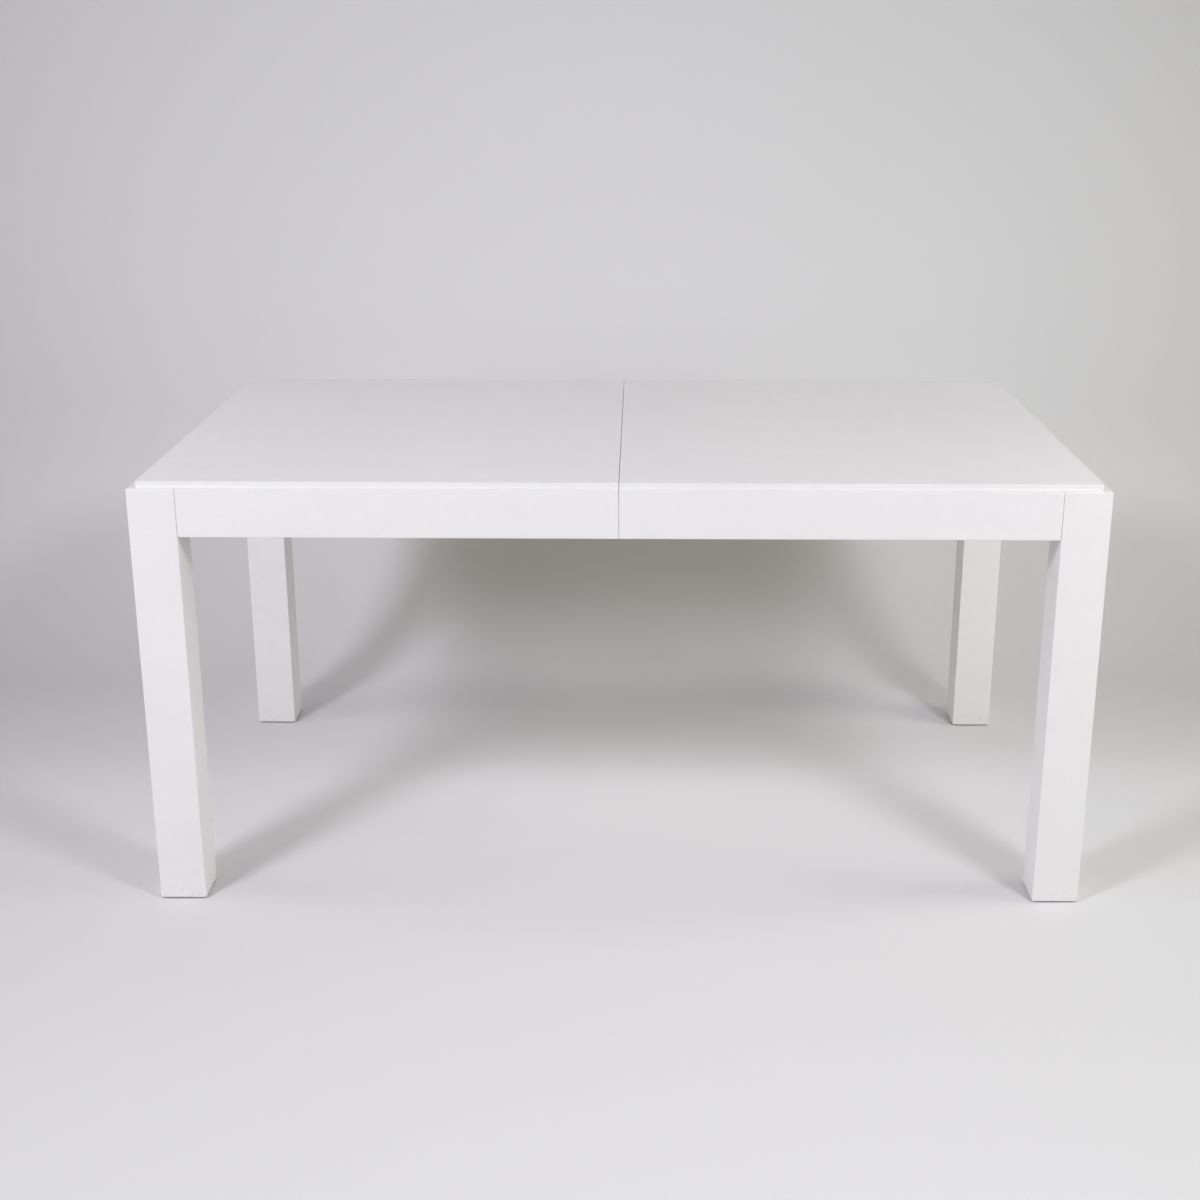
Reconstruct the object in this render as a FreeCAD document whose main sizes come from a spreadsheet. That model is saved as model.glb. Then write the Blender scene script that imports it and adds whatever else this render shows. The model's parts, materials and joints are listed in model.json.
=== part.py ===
import FreeCAD, Part
import math
import os
import re

import Sketcher

# A parsons dining table whose top and long aprons are split at mid-length. Each half stands on two legs.
# The right half runs away from the left one on two geared slides, to make room for a loose leaf.
# Frame: origin on the floor under the middle of the table, X along its length, Y from front to rear, Z up.

Vector = FreeCAD.Vector
Rotation = FreeCAD.Rotation
Placement = FreeCAD.Placement

UP = Vector(0, 0, 1)
HEAD_DOWN = Rotation(Vector(1, 0, 0), 180)
SIDES = (("front", -1), ("rear", 1))
HALVES = (("left", -1), ("right", 1))

document = FreeCAD.newDocument("ParsonsTable")
sheet = document.addObject("Spreadsheet::Sheet", "Sizes")


# ---------------------------------------------------------------------------------------------------------
# Driving sizes, in millimetres unless they are counts or degrees
# ---------------------------------------------------------------------------------------------------------

SIZES = (
    ("table_length", 1626, "over the outer faces of the legs"),
    ("table_width", 914, "over the outer faces of the legs"),
    ("table_height", 762, "floor to the top's upper face"),
    ("top_thickness", 12, "thickness of the top panels"),
    ("top_end_reveal", 15.5, "how far the top stands inside the legs at each end"),
    ("top_side_reveal", 5.5, "how far the top stands inside the legs at front and rear"),
    ("top_ease", 1, "rounding of the top's edges"),
    ("seam_gap", 0.8, "gap between the closed halves"),
    ("seam_ease", 0.3, "rounding of the edges along the split"),
    ("leg_side", 80, "side of the square legs"),
    ("leg_ease", 1.2, "rounding of the legs' edges"),
    ("leg_corner_flat", 14, "how far the legs' inner corner is cut back where the bolts leave it"),
    ("apron_height", 82, "height of the aprons"),
    ("apron_thickness", 20, "thickness of the aprons"),
    ("apron_ease", 0.6, "rounding of the aprons' edges"),
    ("joint_gap", 0.2, "hairline joint between an apron and a leg"),
    ("glide_height", 3, "how far the glides hold the legs off the floor"),
    ("glide_radius", 18, "radius of a glide"),
    ("glide_ease", 0.8, "chamfer round a glide's foot"),
    ("nail_radius", 1.5, "shank of the nail in a glide"),
    ("nail_length", 20, "length of the nail in a glide"),
    ("nail_head_radius", 4, "head of the nail in a glide"),
    ("nail_head_height", 1, "height of the nail's head"),
    ("nail_sink", 0.9, "how far the nail's head stands up inside the glide"),
    ("bearer_width", 50, "width of the bearers under the top"),
    ("bearer_thickness", 28, "depth of the bearers under the top"),
    ("bearer_spacing", 470, "split bearer to middle bearer, centre to centre"),
    ("bearer_ease", 1.5, "rounding of the bearers' lower edges"),
    ("block_side", 22, "legs of a glue block's triangle"),
    ("block_length", 46, "length of a glue block"),
    ("block_spacing", 150, "middle of the end apron to the glue blocks beside it"),
    ("bracket_thickness", 2.5, "sheet of the corner brackets"),
    ("bracket_height", 56, "height of the corner brackets"),
    ("bracket_flange", 30, "width of the flange that lies on an apron"),
    ("bracket_standoff", 6, "from the leg's flat to the bracket"),
    ("flange_screw_inset", 12, "edge of a bracket's flange to its screws"),
    ("bolt_radius", 4, "hanger bolts"),
    ("bolt_spread", 28, "between the two hanger bolts of a leg"),
    ("bolt_grip", 38, "length of a hanger bolt inside the leg"),
    ("bolt_end", 6, "length of a hanger bolt past its nut"),
    ("bolt_point", 6, "length of a hanger bolt's point"),
    ("washer_radius", 9, "washers of the hanger bolts"),
    ("washer_thickness", 1.6, "washers of the hanger bolts"),
    ("nut_flats", 13, "nuts of the hanger bolts, across flats"),
    ("nut_height", 6.5, "nuts of the hanger bolts"),
    ("hole_clearance", 0.3, "radial room round a bolt or screw in a plate"),
    ("thread_clearance", 0.05, "radial room round a bolt or pin in wood, or in its nut"),
    ("pan_radius", 2, "shank of the pan-head screws"),
    ("pan_length", 14, "length of the pan-head screws under the head"),
    ("pan_head_radius", 4, "head of the pan-head screws"),
    ("pan_head_height", 2.2, "head of the pan-head screws"),
    ("pan_spread", 32, "between the two screws of a bracket's flange"),
    ("wood_screw_radius", 2.2, "shank of the countersunk screws"),
    ("wood_screw_head_radius", 4.4, "head of the countersunk screws"),
    ("wood_screw_bite", 8, "how far a bearer's screw enters the top"),
    ("bearer_screw_inner", 70, "middle of the table to the first screw of a bearer"),
    ("bearer_screw_step", 130, "second screw of a bearer to the third"),
    ("bearer_screw_inset", 25, "apron's inner face to the third screw of a bearer"),
    ("leaf_width", 457, "the loose leaf that the open table takes, and so the travel"),
    ("slide_inset", 227, "apron's inner face to the middle of a slide"),
    ("slide_overlap", 200, "least length that two open rails keep side by side"),
    ("rail_thickness", 22, "thickness of every rail"),
    ("rail_height", 38, "height of the rails"),
    ("rail_relief", 1.5, "room over a rail that passes under a bearer"),
    ("rail_gap", 0.5, "running room between two rails"),
    ("rail_tail", 40, "length of a rail past the middle bearer"),
    ("rail_margin", 8, "length of a rail past its rack"),
    ("rail_ease", 1, "rounding of the centre rails' long edges"),
    ("rail_screw_bite", 18, "how far a rail's screw enters a bearer"),
    ("rail_screw_sink", 18, "how far the head of a rail's screw is sunk"),
    ("rail_screw_inset", 13, "bearer's edge to the rail's screw"),
    ("tongue_depth", 6, "how far a side rail's tongue stands out"),
    ("tongue_height", 9, "height of a side rail's tongue"),
    ("groove_clearance", 0.4, "room round a tongue in its groove"),
    ("groove_end_wall", 30, "wood that closes one end of each groove"),
    ("stop_clearance", 1, "tongue to the groove's closed end when fully open"),
    ("gear_module", 2, "module of pinions and racks"),
    ("pinion_teeth", 16, "teeth of a pinion, an even count"),
    ("pinion_thickness", 7, "thickness of a pinion"),
    ("pinion_gap", 0.5, "pinion to the centre rail above it"),
    ("gear_backlash", 0.3, "play between a rack and a pinion"),
    ("rack_thickness", 8, "thickness of a rack"),
    ("rack_back", 9, "strip of a rack behind its teeth"),
    ("axle_radius", 4, "shoulder that a pinion turns on"),
    ("axle_clearance", 0.05, "radial running clearance of pinions and lock levers"),
    ("axle_thread_radius", 3, "thread of the shoulder screw"),
    ("axle_thread_length", 22, "thread of the shoulder screw"),
    ("axle_head_radius", 7.5, "head of the shoulder screw"),
    ("axle_head_height", 3, "head of the shoulder screw"),
    ("axle_end_play", 0.3, "pinion to the shoulder screw's head"),
    ("pin_radius", 4, "alignment pins"),
    ("pin_hold", 20, "length of an alignment pin inside the left half"),
    ("pin_reach", 16, "length of an alignment pin beyond the left half"),
    ("pin_nose", 1.5, "chamfer at an alignment pin's nose"),
    ("pin_clearance", 0.3, "radial room round an alignment pin in its socket"),
    ("pin_inset", 55, "apron's inner face to the outer alignment pins"),
    ("pin_spacing", 252, "outer alignment pins to the inner ones"),
    ("lock_margin", 107, "apron's inner face to a lock's pivot"),
    ("lock_inset", 20, "split to a lock's pivot"),
    ("lock_plate_thickness", 2.5, "base plates and keepers of the locks"),
    ("lock_plate_length", 44, "base plates and keepers, along the split"),
    ("lock_plate_width", 34, "base plates, across the split"),
    ("lock_screw_length", 16, "length of the locks' screws"),
    ("lock_screw_inset", 6, "end of a base plate or keeper to its screws"),
    ("lock_gap", 0.3, "running room over and under a lever"),
    ("lever_thickness", 4, "thickness of a lock's lever"),
    ("lever_hub_radius", 9, "hub of a lock's lever"),
    ("lever_arm_width", 9, "width of the lever's arms"),
    ("hook_inner_radius", 34.3, "inner face of the lever's curved hook"),
    ("hook_width", 7, "width of the lever's curved hook"),
    ("handle_length", 62, "pivot to the middle of the round tip of the lever's handle"),
    ("handle_tip_radius", 6.5, "round tip of the lever's handle"),
    ("rivet_radius", 3, "pivot of a lock's lever"),
    ("rivet_head_radius", 6, "head of the pivot"),
    ("rivet_head_height", 2, "head of the pivot"),
    ("keeper_post_width", 18, "keeper's post, along the split"),
    ("keeper_post_thickness", 5, "keeper's post, across the split"),
    ("keeper_gap", 1.2, "corner of the keeper's post to the hook"),
    ("keeper_plate_width", 36, "keepers, across the split"),
    ("keeper_screw_inset", 8, "keeper's far edge to its screws"),
    ("point_radius", 0.3, "blunt end of the screws' and nails' points"),
    ("bolt_point_radius", 0.8, "blunt end of a hanger bolt's point"),
    ("well_clearance", 0.6, "radial room round the sunk head of a rail's screw"),
    ("tool_overshoot", 1, "how far a cutting shape runs past the face that it opens"),
    ("fuse_depth", 1, "how far an added shape runs into the piece that it joins"),
)

# Angles of the lock's lever, counted in degrees from +X when it is locked
HOOK_START = -55
HOOK_SWEEP = 90
SPOKE_ANGLE = -47
HANDLE_ANGLE = -105
UNLOCKED_TURN = -110

# Tooth form of the pinions and racks: degrees, modules, and teeth of a rack past the pinion's end places
PRESSURE_ANGLE = 20
ROOT_DEPTH = 1.25
RACK_SPARE = 3

# An edge counts as lying on a plane within NEAR millimetres, and as a long one over MOST of the board
NEAR = 0.01
MOST = 0.9


def fill_sheet():
    """Write each driving size into the sheet as a plain number with its name and its meaning."""
    for row, (name, value, meaning) in enumerate(SIZES, start=1):
        sheet.set(f"A{row}", name)
        sheet.set(f"B{row}", str(value))
        sheet.set(f"C{row}", meaning)
        sheet.setAlias(f"B{row}", name)
    document.recompute()


def size(name):
    """A driving size as a number."""
    return float(sheet.get(name))


def bound(words):
    """An expression in the sheet's names, as FreeCAD reads it: every name gets its sheet in front."""
    return re.sub(r"\b([a-z]+(?:_[a-z]+)+)\b", r"Sizes.\1", words)


# ---------------------------------------------------------------------------------------------------------
# Named places, as expressions of the driving sizes
# ---------------------------------------------------------------------------------------------------------

END = "(table_length / 2)"
FRONT = "(table_width / 2)"
LEDGE = "(table_height - top_thickness)"
SEAM = "(seam_gap / 2)"
END_INSIDE = "(table_length / 2 - apron_thickness)"
FRONT_INSIDE = "(table_width / 2 - apron_thickness)"
APRON_BASE = f"({LEDGE} - apron_height)"
LEG_X = "(table_length / 2 - leg_side / 2)"
LEG_Y = "(table_width / 2 - leg_side / 2)"

SPLIT_BEARER_X = f"({SEAM} + bearer_width / 2)"
MIDDLE_BEARER_X = f"({SPLIT_BEARER_X} + bearer_spacing)"
BEARER_BASE = f"({LEDGE} - bearer_thickness)"

BRACKET_Z = f"({LEDGE} - apron_height / 2)"
LEG_FLAT = "(leg_side / sqrt(2) - leg_corner_flat / sqrt(2))"
BRACKET_FACE = f"({LEG_FLAT} + bracket_standoff)"
BRACKET_APRON = "(leg_side / 2 - apron_thickness)"
BRACKET_BEND = f"({BRACKET_FACE} * sqrt(2) + {BRACKET_APRON})"
BRACKET_SCREW = f"({BRACKET_BEND} + bracket_flange - flange_screw_inset)"
WASHER_FACE = f"({BRACKET_FACE} + bracket_thickness)"
NUT_FACE = f"({WASHER_FACE} + washer_thickness)"
BOLT_END = f"({NUT_FACE} + nut_height + bolt_end)"

RAIL_TOP = BEARER_BASE
RAIL_BASE = f"({BEARER_BASE} - rail_height)"
TRAVEL_HALF = "(leaf_width / 2)"
TOOTH_PITCH = "(gear_module * pi)"
RAIL_REACH = f"({TRAVEL_HALF} + {RACK_SPARE + 1} * {TOOTH_PITCH} + rail_margin)"
RAIL_FAR = f"({MIDDLE_BEARER_X} + bearer_width / 2 + rail_tail)"
RAIL_STEP = "(rail_thickness + rail_gap)"
CENTER_RAIL_END = f"({TRAVEL_HALF} + slide_overlap)"
GROOVE_START = f"({CENTER_RAIL_END} - groove_end_wall)"
TONGUE_START = f"({GROOVE_START} - {TRAVEL_HALF} - stop_clearance)"
TONGUE_BASE = f"({RAIL_BASE} + rail_height / 2 - tongue_height / 2)"
GROOVE_HEIGHT = "(tongue_height + 2 * groove_clearance)"
GROOVE_DEPTH = "(tongue_depth + groove_clearance - rail_gap)"

PINION_TOP = f"({RAIL_BASE} - pinion_gap)"
PINION_BASE = f"({PINION_TOP} - pinion_thickness)"
PITCH_RADIUS = "(gear_module * pinion_teeth / 2)"
RACK_SCREW_Y = f"({PITCH_RADIUS} + {ROOT_DEPTH} * gear_module + rack_back / 2)"

BEARER_SCREW_OUTER = f"({FRONT_INSIDE} - bearer_screw_inset)"
BEARER_SCREW_MIDDLE = f"({BEARER_SCREW_OUTER} - bearer_screw_step)"
SLIDE_Y = f"({FRONT_INSIDE} - slide_inset)"
PIN_OUTER = f"({FRONT_INSIDE} - pin_inset)"
PIN_INNER = f"({PIN_OUTER} - pin_spacing)"
LOCK_Y = f"({FRONT_INSIDE} - lock_margin)"

PIN_Z = f"({LEDGE} - bearer_thickness / 2)"
LOCK_X = f"({SEAM} + lock_inset)"
LOCK_PLATE_BASE = f"({BEARER_BASE} - lock_plate_thickness)"
LEVER_BASE = f"({LOCK_PLATE_BASE} - lock_gap - lever_thickness)"
RIVET_HEAD = f"({LEVER_BASE} - lock_gap)"
POST_FAR = "sqrt(pow(hook_inner_radius - keeper_gap; 2) - pow(keeper_post_width / 2; 2))"
POST_X = f"({POST_FAR} - keeper_post_thickness - {LOCK_X})"
BASE_SCREW_X = f"-{LOCK_X}"
KEEPER_SCREW_X = f"({POST_X} + keeper_plate_width - keeper_screw_inset)"


# ---------------------------------------------------------------------------------------------------------
# Ways of making a piece
# ---------------------------------------------------------------------------------------------------------

pieces = []


def keep(thing, label):
    """Name a finished piece and put it on the list of pieces to write."""
    thing.Label = label
    pieces.append(thing)
    return thing


def place(thing, at, turn=None):
    """Stand a piece at three bound coordinates, turned if need be."""
    thing.Placement = Placement(Vector(), turn or Rotation())
    for axis, words in zip("xyz", at):
        thing.setExpression(f".Placement.Base.{axis}", bound(words))
    return thing


def origin_plane(body, role):
    """One of a body's own origin planes."""
    return [feature for feature in body.Origin.OriginFeatures if feature.Role == role][0]


def polygon_sketch(body, name, corners, plane="XY_Plane"):
    """A closed outline in a body, each corner held by two bound distances from the body's origin."""
    sketch = body.newObject("Sketcher::SketchObject", name)
    sketch.AttachmentSupport = (origin_plane(body, plane), [""])
    sketch.MapMode = "FlatFace"
    count = len(corners)
    turns = [2 * math.pi * i / count for i in range(count)]
    rough = [Vector(math.cos(turn), math.sin(turn)) for turn in turns]
    for i in range(count):
        sketch.addGeometry(Part.LineSegment(rough[i], rough[(i + 1) % count]), False)
    for i in range(count):
        sketch.addConstraint(Sketcher.Constraint("Coincident", i, 2, (i + 1) % count, 1))
    for i, corner in enumerate(corners):
        for kind, start, words in zip(("DistanceX", "DistanceY"), rough[i], corner):
            index = sketch.addConstraint(Sketcher.Constraint(kind, -1, 1, i, 1, start))
            sketch.setExpression(f"Constraints[{index}]", bound(words))
    return sketch


def padded(body, sketch, name, length):
    """Raise a sketch by a bound length."""
    pad = body.newObject("PartDesign::Pad", name)
    pad.Profile = sketch
    pad.setExpression("Length", bound(length))
    return pad


def rectangle(wide, deep):
    """Corners of a rectangle about the origin."""
    x = f"({wide}) / 2"
    y = f"({deep}) / 2"
    return ((f"-{x}", f"-{y}"), (x, f"-{y}"), (x, y), (f"-{x}", y))


def eased(body, pad, name, radius, chosen):
    """Round the edges of a pad whose middle passes a test."""
    document.recompute()
    box = pad.Shape.BoundBox
    edges = [f"Edge{i}" for i, edge in enumerate(pad.Shape.Edges, start=1) if chosen(edge, box)]
    fillet = body.newObject("PartDesign::Fillet", name)
    fillet.Base = (pad, edges)
    fillet.setExpression("Radius", bound(radius))
    return fillet


def every_edge(edge, box):
    """A test that every edge of a board passes."""
    return True


def board(name, wide, deep, high, at, ease=None, chosen=every_edge):
    """A board along X, Y and Z that stands on the middle of its base, with eased edges."""
    body = document.addObject("PartDesign::Body", f"{name}_board")
    sketch = polygon_sketch(body, f"{name}_outline", rectangle(wide, deep))
    pad = padded(body, sketch, f"{name}_pad", high)
    if ease:
        eased(body, pad, f"{name}_ease", ease, chosen)
    return place(body, at)


def block(name, wide, deep, high, at):
    """A plain box that stands on the middle of its base, used to add or remove material."""
    box = document.addObject("Part::Box", name)
    box.setExpression("Length", bound(wide))
    box.setExpression("Width", bound(deep))
    box.setExpression("Height", bound(high))
    corner = (f"{at[0]} - ({wide}) / 2", f"{at[1]} - ({deep}) / 2", at[2])
    return place(box, corner)


def cylinder(name, radius, height, at=("0", "0", "0"), turn=None):
    """A round bar from a point along Z, or along the turned Z."""
    bar = document.addObject("Part::Cylinder", name)
    bar.setExpression("Radius", bound(radius))
    bar.setExpression("Height", bound(height))
    return place(bar, at, turn)


def through_hole(name, radius, thickness, at=("0", "0", "0")):
    """A round tool that runs past both faces of a plate, from a point on the plate's lower face."""
    start = (at[0], at[1], f"{at[2]} - tool_overshoot")
    return cylinder(name, radius, f"({thickness} + 2 * tool_overshoot)", start)


def cone(name, low, high, height, at=("0", "0", "0")):
    """A cone from its low radius to its high radius."""
    taper = document.addObject("Part::Cone", name)
    taper.setExpression("Radius1", bound(low))
    taper.setExpression("Radius2", bound(high))
    taper.setExpression("Height", bound(height))
    return place(taper, at)


def fused(name, shapes):
    """Join shapes that overlap or touch into one solid."""
    joined = document.addObject("Part::MultiFuse", name)
    joined.Shapes = shapes
    joined.Refine = True
    return joined


def grouped(name, shapes):
    """Keep shapes together as a group of separate solids."""
    group = document.addObject("Part::Compound", name)
    group.Links = shapes
    return group


def cut(name, base, tools):
    """Take a group of tools away from a base."""
    hollow = document.addObject("Part::Cut", name)
    hollow.Base = base
    hollow.Tool = grouped(f"{name}_tools", tools)
    return hollow


def copy_of(master, name, at, turn=None):
    """A linked copy of a master shape."""
    link = document.addObject("App::Link", name)
    link.LinkedObject = master
    link.LinkTransform = True
    return place(link, at, turn)


def copies(master, name, spots):
    """Linked copies of a master shape, one for each spot: three coordinates and a turn."""
    return [copy_of(master, f"{name}_{i}", spot[:3], spot[3]) for i, spot in enumerate(spots, start=1)]


# ---------------------------------------------------------------------------------------------------------
# Master fasteners, along Z from the face that they are driven into, and the holes that they need
# ---------------------------------------------------------------------------------------------------------

def pan_screw():
    """A pan-head screw: the shank goes down from the origin, the head stands above it."""
    shank = cylinder("pan_shank", "pan_radius", "pan_length - pan_radius", turn=HEAD_DOWN)
    tip = cone("pan_tip", "point_radius", "pan_radius", "pan_radius", ("0", "0", "-pan_length"))
    head = cylinder("pan_head", "pan_head_radius", "pan_head_height")
    return fused("pan_screw", [shank, tip, head])


def pan_hole(name, room):
    """The hole for a pan-head screw's shank, down to its tip."""
    start = ("0", "0", "tool_overshoot")
    return cylinder(name, f"pan_radius + {room}", "pan_length + tool_overshoot", start, HEAD_DOWN)


def countersunk_screw(name, depth, room="0"):
    """A countersunk screw of a given depth, or with some room the hole that it sits in."""
    length = f"({depth} - wood_screw_radius)"
    thick = f"wood_screw_radius + {room}"
    shank = cylinder(f"{name}_shank", thick, length)
    tip = cone(f"{name}_tip", thick, "point_radius", "wood_screw_radius", ("0", "0", length))
    spread = "wood_screw_head_radius - wood_screw_radius"
    head = cone(f"{name}_head", f"wood_screw_head_radius + {room}", thick, spread)
    return fused(name, [shank, tip, head])


def hanger_bolt():
    """A hanger bolt, from its point inside the leg to its end past the nut."""
    length = f"({BOLT_END} - {LEG_FLAT} + bolt_grip - bolt_point)"
    point = cone("bolt_point_cone", "bolt_point_radius", "bolt_radius", "bolt_point")
    shank = cylinder("bolt_shank", "bolt_radius", length, ("0", "0", "bolt_point"))
    return fused("hanger_bolt", [point, shank])


def washer():
    """A washer of a hanger bolt."""
    disc = cylinder("washer_disc", "washer_radius", "washer_thickness")
    hole = through_hole("washer_hole", "bolt_radius + hole_clearance", "washer_thickness")
    return cut("washer", disc, [hole])


def nut():
    """A hexagon nut of a hanger bolt."""
    prism = document.addObject("Part::Prism", "nut_prism")
    prism.Polygon = 6
    prism.setExpression("Circumradius", bound("nut_flats / sqrt(3)"))
    prism.setExpression("Height", bound("nut_height"))
    hole = through_hole("nut_hole", "bolt_radius + thread_clearance", "nut_height")
    return cut("nut", prism, [hole])


def glide_nail(name, room="0"):
    """The nail of a glide, from its head up, or with some room the hole that it sits in."""
    thick = f"nail_radius + {room}"
    head = cylinder(f"{name}_head", f"nail_head_radius + {room}", "nail_head_height")
    shank = cylinder(f"{name}_shank", thick, "nail_length", ("0", "0", "nail_head_height"))
    point_at = ("0", "0", "nail_head_height + nail_length")
    point = cone(f"{name}_point", thick, f"point_radius + {room}", "2 * nail_radius", point_at)
    return fused(name, [head, shank, point])


# ---------------------------------------------------------------------------------------------------------
# Legs, their bolts and glides
# ---------------------------------------------------------------------------------------------------------

def corner_spot(side, half, reach, height):
    """A spot on the diagonal that runs from a leg's middle into the table, with Z turned along it."""
    x = f"{half} * ({LEG_X} - {reach} / sqrt(2))"
    y = f"{side} * ({LEG_Y} - {reach} / sqrt(2))"
    return (x, y, height, Rotation(UP, Vector(-half, -side, 0)))


def bolt_heights():
    """Heights of the two hanger bolts of a leg."""
    return (f"{BRACKET_Z} - bolt_spread / 2", f"{BRACKET_Z} + bolt_spread / 2")


def leg(side_name, side, half_name, half):
    """A square leg with the flat and the bolt holes on its inner corner, and the hole for its nail."""
    name = f"{side_name}_{half_name}_leg"
    x = f"{half} * {LEG_X}"
    y = f"{side} * {LEG_Y}"
    high = f"{LEDGE} - glide_height"
    post = board(name, "leg_side", "leg_side", high, (x, y, "glide_height"), "leg_ease")
    turn = Rotation(UP, 45)
    corner = document.addObject("Part::Box", f"{name}_corner")
    corner.setExpression("Length", bound("leg_side"))
    corner.setExpression("Width", bound("leg_side"))
    corner.setExpression("Height", bound("apron_height + tool_overshoot"))
    middle = f"({LEG_FLAT} + leg_side / 2)"
    corner_x = f"{half} * ({LEG_X} - {middle} / sqrt(2))"
    corner_y = f"{side} * ({LEG_Y} - {middle} / sqrt(2)) - leg_side / sqrt(2)"
    place(corner, (corner_x, corner_y, APRON_BASE), turn)
    spots = [corner_spot(side, half, f"({LEG_FLAT} - bolt_grip)", height) for height in bolt_heights()]
    bolts = copies(bolt_hole, f"{name}_bolt_hole", spots)
    nail = copy_of(nail_hole, f"{name}_nail_hole", (x, y, "nail_sink"))
    return keep(cut(f"{name}_cut", post, [corner, *bolts, nail]), name)


def leg_fasteners(half_name, half):
    """Hanger bolts, washers and nuts of one half's two legs."""
    kinds = (
        (bolt_master, "hanger_bolts", f"({LEG_FLAT} - bolt_grip)"),
        (washer_master, "leg_washers", WASHER_FACE),
        (nut_master, "leg_nuts", NUT_FACE),
    )
    for master, label, reach in kinds:
        spots = []
        for _, side in SIDES:
            spots += [corner_spot(side, half, reach, height) for height in bolt_heights()]
        name = f"{half_name}_{label}"
        keep(grouped(f"{name}_group", copies(master, name, spots)), name)


def glides(half_name, half):
    """Round glides under one half's two legs, and the nails that hold them."""
    pads = []
    nails = []
    for side_name, side in SIDES:
        name = f"{side_name}_{half_name}_glide"
        x = f"{half} * {LEG_X}"
        y = f"{side} * {LEG_Y}"
        upper = cylinder(f"{name}_disc", "glide_radius", "glide_height - glide_ease", (x, y, "glide_ease"))
        lower = cone(f"{name}_foot", "glide_radius - glide_ease", "glide_radius", "glide_ease", (x, y, "0"))
        disc = fused(f"{name}_body", [upper, lower])
        recess = cylinder(f"{name}_recess", "nail_head_radius", "nail_sink", (x, y, "0"))
        hole = copy_of(nail_hole, f"{name}_hole", (x, y, "nail_sink"))
        pads.append(cut(f"{name}_cut", disc, [recess, hole]))
        nails.append(copy_of(nail_master, f"{name}_nail", (x, y, "nail_sink")))
    keep(grouped(f"{half_name}_glide_group", pads), f"{half_name}_glides")
    keep(grouped(f"{half_name}_nail_group", nails), f"{half_name}_glide_nails")


# ---------------------------------------------------------------------------------------------------------
# Corner brackets
# ---------------------------------------------------------------------------------------------------------

def bracket_spots(side, half):
    """The four pan-head screws of a bracket, driven into the long apron and the end apron."""
    spots = []
    for step in (-1, 1):
        height = f"{BRACKET_Z} + {step} * pan_spread / 2"
        along = f"{half} * ({LEG_X} - {BRACKET_SCREW})"
        face = f"{side} * ({FRONT_INSIDE} - bracket_thickness)"
        spots.append((along, face, height, Rotation(UP, Vector(0, -side, 0))))
        along = f"{side} * ({LEG_Y} - {BRACKET_SCREW})"
        face = f"{half} * ({END_INSIDE} - bracket_thickness)"
        spots.append((face, along, height, Rotation(UP, Vector(-half, 0, 0))))
    return spots


def bracket(side_name, side, half_name, half):
    """A folded steel bracket across a corner: two flanges on the aprons, and a web that the bolts pass."""
    name = f"{side_name}_{half_name}_bracket"
    body = document.addObject("PartDesign::Body", f"{name}_body")
    fold = f"({BRACKET_BEND} + (sqrt(2) - 1) * bracket_thickness)"
    tip = f"({BRACKET_BEND} + bracket_flange)"
    outer = f"-{BRACKET_APRON}"
    inner = f"(bracket_thickness - {BRACKET_APRON})"
    outline = (
        (tip, outer), (BRACKET_BEND, outer), (outer, BRACKET_BEND), (outer, tip),
        (inner, tip), (inner, fold), (fold, inner), (tip, inner),
    )
    turned = [(f"{-half} * {x}", f"{-side} * {y}") for x, y in outline]
    sketch = polygon_sketch(body, f"{name}_outline", turned)
    padded(body, sketch, f"{name}_pad", "bracket_height")
    place(body, (f"{half} * {LEG_X}", f"{side} * {LEG_Y}", f"{BRACKET_Z} - bracket_height / 2"))
    tools = copies(plate_hole, f"{name}_screw_hole", bracket_spots(side, half))
    bolt_spots = [corner_spot(side, half, f"({LEG_FLAT})", height) for height in bolt_heights()]
    tools += copies(bracket_bolt_hole, f"{name}_bolt_hole", bolt_spots)
    return cut(f"{name}_cut", body, tools)


def brackets(half_name, half):
    """The two brackets of one half, and their screws."""
    plates = [bracket(side_name, side, half_name, half) for side_name, side in SIDES]
    keep(grouped(f"{half_name}_bracket_group", plates), f"{half_name}_corner_brackets")
    spots = []
    for _, side in SIDES:
        spots += bracket_spots(side, half)
    name = f"{half_name}_bracket_screws"
    keep(grouped(f"{name}_group", copies(pan_master, name, spots)), name)


# ---------------------------------------------------------------------------------------------------------
# Aprons, top panels, bearers and glue blocks
# ---------------------------------------------------------------------------------------------------------

def long_apron(side_name, side, half_name, half):
    """The half of a front or rear apron, from the leg to the split."""
    name = f"{side_name}_{half_name}_apron"
    long = f"({END} - leg_side - joint_gap - {SEAM})"
    x = f"{half} * ({SEAM} + {long} / 2)"
    y = f"{side} * ({FRONT} - apron_thickness / 2)"
    plank = board(name, long, "apron_thickness", "apron_height", (x, y, APRON_BASE), "apron_ease")
    spots = [spot for spot in bracket_spots(side, half) if abs(spot[3].multVec(UP).y) > 0.5]
    holes = copies(pan_pilot, f"{name}_hole", spots)
    return keep(cut(f"{name}_cut", plank, holes), name)


def end_apron(half_name, half):
    """The apron between the two legs of one half."""
    name = f"{half_name}_end_apron"
    deep = "(table_width - 2 * leg_side - 2 * joint_gap)"
    x = f"{half} * ({END} - apron_thickness / 2)"
    plank = board(name, "apron_thickness", deep, "apron_height", (x, "0", APRON_BASE), "apron_ease")
    spots = []
    for _, side in SIDES:
        spots += [spot for spot in bracket_spots(side, half) if abs(spot[3].multVec(UP).x) > 0.5]
    holes = copies(pan_pilot, f"{name}_hole", spots)
    return keep(cut(f"{name}_cut", plank, holes), name)


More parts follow.
